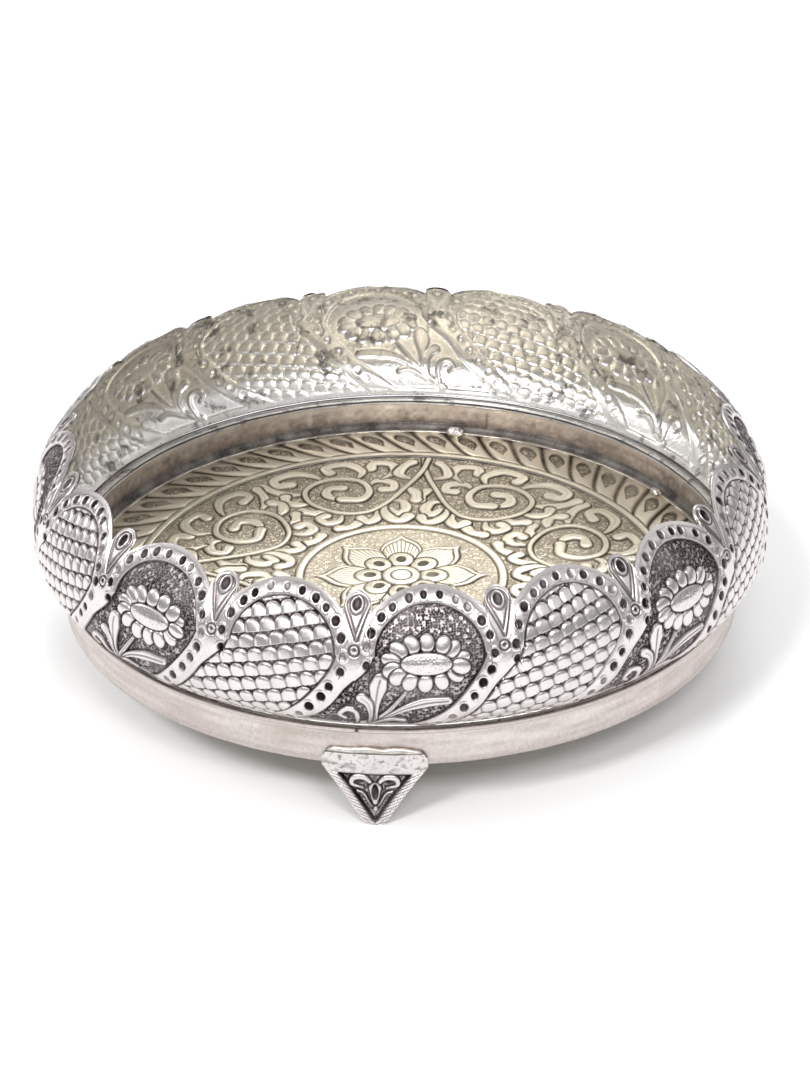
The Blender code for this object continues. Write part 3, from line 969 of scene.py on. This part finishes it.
def make_floor_seam(material):
    low = SEAM_LOW.z / MM - 0.25
    high = SEAM_HIGH.z / MM
    outer = SEAM_HIGH.x / MM + 0.25
    inner = outer - 3.1
    outline = [(outer, low), (outer, high)]
    for share in np.linspace(0, 1, 8):
        angle = math.radians(90 * share)
        radius = outer - 0.2 - (outer - inner - 0.3) * (1 - math.cos(angle))
        outline.append((radius, high - (high - low - 0.3) * math.sin(angle)))
    outline.append((inner, low))
    outline = np.array(outline)

    def work(azimuth, radius, height):
        lumps = 0.35 * noise(azimuth * 26, height / 3, 91)
        lumps = lumps + 0.18 * noise(azimuth * 90, height, 92)
        toward = ease(outer - 0.3, inner, radius)
        radius = radius - lumps * toward
        height = height + 0.3 * lumps * ease(low + 0.2, high, height)
        # Painted highlight: a light line along the fillet's inner edge.
        bright = bell(radius - inner - 0.3, 0.42)
        mottle = 0.5 + 0.5 * noise(azimuth * 30, radius / 2, 93)
        # Painted shade: the fillet is dark all over, as it lies in the corner between floor and band; the
        # mottle is its own uneven tone.
        return radius, height, np.clip(0.7 + 0.25 * mottle - 0.95 * bright, 0, 1)

    turned_ring("floor_solder_fillet", outline, 1440, work, material, "solder", "floor_solder_seam")


# ---- feet and solder

FOOT_WIDE = 16.2
FOOT_TIP = 2.0
FOOT_HEIGHT = 25.8
FOOT_SHOULDER = 21.0
FOOT_TIP_HEIGHT = 1.4
FOOT_THICKNESS = 1.5
FOOT_ROWS = 181
FOOT_COLUMNS = 201


def foot_half_width(height):
    """Half the foot's width at a height above its tip, in millimetres."""
    share = np.clip(1.0 - height / FOOT_SHOULDER, 0, 1)
    side = FOOT_WIDE + (FOOT_TIP + 1.2 - FOOT_WIDE) * share - 0.6 * np.sin(math.pi * share)
    round_tip = np.clip(1 - (1 - np.clip(height / FOOT_TIP_HEIGHT, 0, 1)) ** 2, 0, 1)
    tip = FOOT_TIP + 1.2 * np.sqrt(round_tip) + np.clip(height - FOOT_TIP_HEIGHT, 0, None) * 5
    shoulder = 1.2 * ease(FOOT_HEIGHT - 2.4, FOOT_HEIGHT, height)
    return np.minimum(side, tip) - shoulder


def work_foot(x, y, half):
    """Rope edges and a little palmette."""
    sheet = Sheet(x, y)
    edge = (half - np.abs(x)) * 0.84
    sheet.height = -0.25 + 0.2 * ease(0.0, 0.5, edge)
    along = y * 1.18 + 0.9 * edge
    twist = np.abs(np.sin(along * math.pi / 1.75))
    rope = ease(3.0, 2.6, edge) * ease(FOOT_SHOULDER - 1.0, FOOT_SHOULDER - 3.0, y)
    round_rope = np.sqrt(np.clip(1 - ((edge - 1.4) / 1.6) ** 2, 0, 1))
    notch = ease(0.5, 0.05, twist)
    sheet.height += rope * (0.25 * round_rope - 0.4 * notch)
    sheet.darken(WHOLE, rope * 0.9 * notch)
    field = np.nonzero((edge > 3.0) & (y < 18.0))
    sheet.ground(field, 0.95, 0.7, 95, 0.85)
    sheet.line(WHOLE, np.where(y < 18.4, edge - 3.0, 9.0), 0.5, 0.35, 1.0)
    sheet.line(WHOLE, np.where(edge > 2.9, y - 18.2, 9.0), 0.6, 0.35, 1.0)
    for side in (-1, 1):
        lobe = [(0.2, 12.6), (side * 2.6, 16.8), (side * 6.2, 17.0), (side * 7.0, 14.6),
                (side * 3.6, 13.4)]
        sheet.stroke(smooth_path(lobe), [0.5, 1.0, 1.1, 0.9, 0.5], height=-0.5, crown=0.45)
        sheet.pit((side * 4.5, 15.4), 1.5, 0.9, side * -12, 0.3, 0.9)
        curl = [(side * 0.3, 5.6), (side * 2.0, 8.4), (side * 3.4, 11.2), (side * 5.4, 12.2)]
        sheet.stroke(smooth_path(curl), [0.4, 0.5, 0.6, 0.5], height=-0.55, crown=0.4)
    sheet.stroke([(0.1, 13.2), (0.1, 8.0)], [2.2, 1.0], height=-0.5, crown=0.5)
    sheet.pit((0.1, 12.0), 1.15, 3.0, 0, 0.55, 1.0)
    sheet.oval((0.2, 5.6), 0.9, 1.0, 0, height=-0.4, crown=0.4)
    plain = ease(18.6, 19.4, y)
    stains = ease(0.0, 0.8, noise(x / 2.1, y / 1.3, 97))
    stains = stains + ease(0.2, 0.9, noise(x / 0.7, y / 0.6, 98))
    sheet.darken(WHOLE, plain * 0.3 * stains)
    sheet.height += plain * 0.06 * noise(x / 3.0, y / 2.2, 99)
    return sheet


def make_foot(name, azimuth, material, back_material):
    up, aside = np.linspace(0, FOOT_HEIGHT, FOOT_ROWS), np.linspace(-1, 1, FOOT_COLUMNS)
    height, across = np.meshgrid(up, aside, indexing="ij")
    half = foot_half_width(height)
    across = across * half
    sheet = work_foot(across, height, half)
    inner_r = BAND_R / MM + 0.25
    bend = across / inner_r
    turn = math.radians(azimuth)
    tip_lift = box_heights(name)[0]

    def place(radius):
        x = radius * np.sin(turn + bend)
        y = -radius * np.cos(turn + bend)
        return np.stack([x, y, height + tip_lift], -1) * MM

    front = place(inner_r + FOOT_THICKNESS + sheet.height)
    back = place(inner_r)
    front = [front, grid_normals(front, False), sheet.tarnish_and_shade]
    back = [back, -grid_normals(back, False), np.full(height.shape, 0.3)]
    every = np.arange(FOOT_COLUMNS)
    piece = sheet_piece(name + "_plate", front, take(back, every, 2), material, back_material)
    settle(piece, "wall_silver", name)


def blob_strip(name, path, widths, heights, outward, material, seed):
    """A run of solder along a path: a squashed, lumpy bead."""
    sides = 14
    path = np.array(path)
    tangent = np.gradient(path, axis=0)
    tangent /= np.linalg.norm(tangent, axis=1, keepdims=True)
    outward = np.array(outward)
    sideways = np.cross(tangent, outward)
    angle = np.arange(sides) / sides * 2 * np.pi
    count = len(path)
    t = np.linspace(0, 1, count)[:, None]
    lump = 1 + 0.22 * noise(t * count / 4, np.cos(angle)[None] * 1.5, seed)
    taper = np.sqrt(np.clip(1 - (2 * t - 1) ** 8, 0.0004, 1))
    ring = (sideways[:, None] * (np.cos(angle)[None, :, None] * (widths * taper * lump)[..., None])
            + outward[:, None] * (np.sin(angle)[None, :, None] * (heights * taper * lump)[..., None]))
    points = (path[:, None] + ring).reshape(-1, 3)
    here = np.arange(count * sides).reshape(count, sides)
    right = np.roll(here, -1, 1)
    quads = np.stack([here[:-1], here[1:], right[1:], right[:-1]], -1).reshape(-1, 4)
    caps = []
    last = (count - 1) * sides
    for k in range(1, sides - 1):
        caps += [(0, k, k + 1), (last, last + k + 1, last + k)]
    shade = 0.18 + 0.2 * noise(points[:, 0] * 900, points[:, 2] * 900, seed)
    return mesh_object(name, points, quads, np.array(caps), material, None, np.clip(shade, 0, 1))


def make_foot_solder(name, azimuth, material):
    node = name + "_solder"
    low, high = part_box(node)
    height = (low.z + high.z) / 2 - 0.0003
    radius = BAND_R + 0.0006
    path, outward = [], []
    for step in range(41):
        share = 2 * step / 40 - 1
        angle = math.radians(azimuth + FOOT_SOLDER_HALF_ANGLE * share)
        sag = 0.0009 * abs(share) ** 3 + 0.0002 * math.sin(9 * share)
        path.append((radius * math.sin(angle), -radius * math.cos(angle), height - sag))
        outward.append((math.sin(angle), -math.cos(angle), 0.0))
    piece = blob_strip(name + "_solder_run", path, 0.00115, 0.0008, outward, material, 96)
    settle(piece, "solder", node)


def make_floor_lump(node, azimuth, material):
    low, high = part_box(node)
    centre = (low + high) / 2
    size = (high.z - low.z) / 2
    shape = bpy.data.meshes.new(node + "_blob")
    ball = bmesh.new()
    bmesh.ops.create_icosphere(ball, subdivisions=4, radius=1.0)
    for vertex in ball.verts:
        p = vertex.co.copy()
        bump = 1 + 0.22 * math.sin(3.1 * p.x + 1.0) * math.cos(2.7 * p.y)
        bump += 0.1 * math.sin(6.0 * p.x + 4.0 * p.z)
        vertex.co = Vector((p.x * 2.9 * bump, p.y * 1.75 * bump, p.z * 1.25 * bump)) * size
    ball.to_mesh(shape)
    ball.free()
    shape.shade_smooth()
    layer = shape.attributes.new("tarnish_and_shade", "FLOAT", "POINT")
    layer.data.foreach_set("value", np.full(len(shape.vertices), 0.06, np.float32))
    shape.materials.append(material)
    piece = bpy.data.objects.new(node + "_blob", shape)
    bpy.context.scene.collection.objects.link(piece)
    outward = Vector((centre.x, centre.y, 0)).normalized()
    turn = Matrix.Rotation(math.radians(azimuth), 4, "Z")
    piece.matrix_world = Matrix.Translation(centre + outward * 0.0012) @ turn
    bpy.context.view_layer.update()
    settle(piece, "solder", node)


# ---- materials

def node_tree(name):
    material = bpy.data.materials.new(name)
    material.use_nodes = True
    tree = material.node_tree
    return material, tree, tree.nodes["Principled BSDF"]


def add(tree, kind, **values):
    node = tree.nodes.new(kind)
    for key, value in values.items():
        if key in node.inputs.keys():
            node.inputs[key].default_value = value
        else:
            setattr(node, key, value)
    return node


def ramp(tree, source, stops):
    """Colours along a 0 to 1 value."""
    node = tree.nodes.new("ShaderNodeValToRGB")
    elements = node.color_ramp.elements
    elements[0].position = stops[0][0]
    elements[1].position = stops[-1][0]
    for position, _ in stops[1:-1]:
        elements.new(position)
    for element, (_, colour) in zip(elements, stops):
        element.color = (*colour, 1)
    tree.links.new(source, node.inputs["Fac"])
    return node.outputs["Color"]


def spots(tree, position, scale, detail, roughness=0.6):
    node = add(tree, "ShaderNodeTexNoise", Scale=scale, Detail=detail, Roughness=roughness)
    tree.links.new(position, node.inputs["Vector"])
    return node.outputs["Fac"]


def times_plus(tree, first, factor, second):
    """first * factor + second."""
    node = add(tree, "ShaderNodeMath", operation="MULTIPLY_ADD")
    tree.links.new(first, node.inputs[0])
    node.inputs[1].default_value = factor
    tree.links.new(second, node.inputs[2])
    return node.outputs[0]


def map_range(tree, value, from_low, from_high, to_low, to_high):
    node = add(tree, "ShaderNodeMapRange")
    for key, number in {"From Min": from_low, "From Max": from_high,
                        "To Min": to_low, "To Max": to_high}.items():
        node.inputs[key].default_value = number
    tree.links.new(value, node.inputs["Value"])
    return node.outputs["Result"]


def worked_silver(name, bright, middle, dark, stain, stain_amount, rough, grain,
                  patch_start=0.45, patch_full=0.75, patch_scale=60.0):
    """Silver darkened by each point's value (oxide in its recesses, and on some parts painted shade and
    highlights), with mottled tarnish and a finely uneven surface.
    """
    material, tree, shader = node_tree(name)
    link = tree.links.new
    place = add(tree, "ShaderNodeTexCoord").outputs["Object"]
    # Each point's value holds oxide and tarnish, and on some parts painted shade and painted highlights.
    depth = add(tree, "ShaderNodeAttribute", attribute_name="tarnish_and_shade").outputs["Fac"]
    fine = spots(tree, place, 900.0, 4.0)
    broad = spots(tree, place, patch_scale, 9.0, 0.68)
    grain_tarnish_and_shade = times_plus(tree, fine, 0.28, depth)
    less = add(tree, "ShaderNodeMath", operation="SUBTRACT", use_clamp=True)
    link(grain_tarnish_and_shade, less.inputs[0])
    less.inputs[1].default_value = 0.14
    colour = ramp(tree, less.outputs[0], [(0.0, bright), (0.38, middle), (0.92, dark)])
    stained = add(tree, "ShaderNodeMix", data_type="RGBA", blend_type="MIX")
    patches = map_range(tree, broad, patch_start, patch_full, 0.0, stain_amount)
    link(patches, stained.inputs["Factor"])
    link(colour, stained.inputs["A"])
    stained.inputs["B"].default_value = (*stain, 1)
    link(stained.outputs["Result"], shader.inputs["Base Color"])
    mixed = times_plus(tree, broad, 0.35, less.outputs[0])
    shine = map_range(tree, mixed, 0.0, 1.0, rough, min(rough + 0.38, 0.85))
    link(shine, shader.inputs["Roughness"])
    shader.inputs["Metallic"].default_value = 1.0
    bump = add(tree, "ShaderNodeBump", Strength=grain)
    bump.inputs["Distance"].default_value = 0.0002
    link(fine, bump.inputs["Height"])
    link(bump.outputs["Normal"], shader.inputs["Normal"])
    return material


# ---- stage

def make_stage():
    bpy.ops.mesh.primitive_plane_add(size=STAGE_SIZE, location=(0, 0, 0))
    ground = bpy.context.object
    ground.name = "studio_floor"
    material, tree, shader = node_tree("studio_floor")
    shader.inputs["Base Color"].default_value = (0.93, 0.93, 0.93, 1)
    shader.inputs["Roughness"].default_value = 0.9
    ground.data.materials.append(material)


def soft_light(name, place, aim, size, power):
    data = bpy.data.lights.new(name, "AREA")
    data.shape = "RECTANGLE"
    data.size, data.size_y = size
    data.energy = power
    lamp = bpy.data.objects.new(name, data)
    bpy.context.scene.collection.objects.link(lamp)
    lamp.location = place
    direction = Vector(aim) - Vector(place)
    lamp.rotation_euler = direction.to_track_quat("-Z", "Y").to_euler()


def soft_sun(name, place, width, strength):
    data = bpy.data.lights.new(name, "SUN")
    data.angle = math.radians(width)
    data.energy = strength
    sun = bpy.data.objects.new(name, data)
    bpy.context.scene.collection.objects.link(sun)
    sun.rotation_euler = Vector(place).to_track_quat("Z", "Y").to_euler()


def make_world():
    """Darker near the horizon, so that the relief reads, and brighter overhead."""
    world = bpy.data.worlds.new("studio")
    world.use_nodes = True
    tree = world.node_tree
    place = tree.nodes.new("ShaderNodeTexCoord")
    parts = tree.nodes.new("ShaderNodeSeparateXYZ")
    tree.links.new(place.outputs["Generated"], parts.inputs["Vector"])
    sky = ramp(tree, parts.outputs["Z"], SKY)
    tree.links.new(sky, tree.nodes["Background"].inputs["Color"])
    bpy.context.scene.world = world


def make_light():
    make_world()
    middle = (0, 0, 0.04)
    soft_sun("key", (-0.45, -0.7, 0.9), 12, 1.4)
    soft_sun("back", (0.15, 0.8, 0.85), 26, 0.65)
    soft_light("front", (0.15, -0.75, 0.70), middle, (0.3, 0.2), 3.2)
    soft_light("side", (-0.8, 0.1, 0.5), middle, (0.25, 0.25), 1.2)


def make_camera():
    """Looks down on the plate from the front."""
    tilt, roll = math.radians(CAMERA_TILT), math.radians(CAMERA_ROLL)
    away = Vector((0, -math.cos(tilt), math.sin(tilt)))
    right = Vector((1, 0, 0))
    up = Vector((0, math.sin(tilt), math.cos(tilt)))
    turned_right = right * math.cos(roll) + up * math.sin(roll)
    turned_up = up * math.cos(roll) - right * math.sin(roll)
    shift = turned_right * CAMERA_RIGHT + turned_up * CAMERA_UP
    place = Vector((0, 0, FLOOR_TOP)) + away * CAMERA_DISTANCE + shift
    data = bpy.data.cameras.new("camera")
    data.lens = CAMERA_LENS
    data.sensor_width = 36.0
    data.clip_start = 0.01
    camera = bpy.data.objects.new("camera", data)
    axes = Matrix((turned_right, turned_up, away)).transposed().to_4x4()
    camera.matrix_world = Matrix.Translation(place) @ axes
    bpy.context.scene.collection.objects.link(camera)
    bpy.context.scene.camera = camera


def main():
    make_camera()
    make_stage()
    make_light()
    bpy.context.scene.view_settings.view_transform = "Standard"
    metals = {name: worked_silver(name, *looks) for name, looks in METALS.items()}
    wall_outside = metals["worked_silver_outside"]
    wall_inside = metals["worked_silver_inside"]
    underside = metals["silver_underside"]
    band_metal = metals["satin_silver_band"]
    solder = metals["silver_solder"]
    make_wall(wall_outside, wall_inside)
    make_floor(metals["chased_silver_floor"], underside)
    make_band(band_metal)
    make_seat_ring(wall_inside)
    make_bead_wire(band_metal)
    make_floor_seam(solder)
    for name, azimuth in FEET.items():
        make_foot(name, azimuth, wall_outside, underside)
        make_foot_solder(name, azimuth, solder)
    for name, azimuth in FLOOR_LUMPS.items():
        make_floor_lump(name, azimuth, solder)


main()
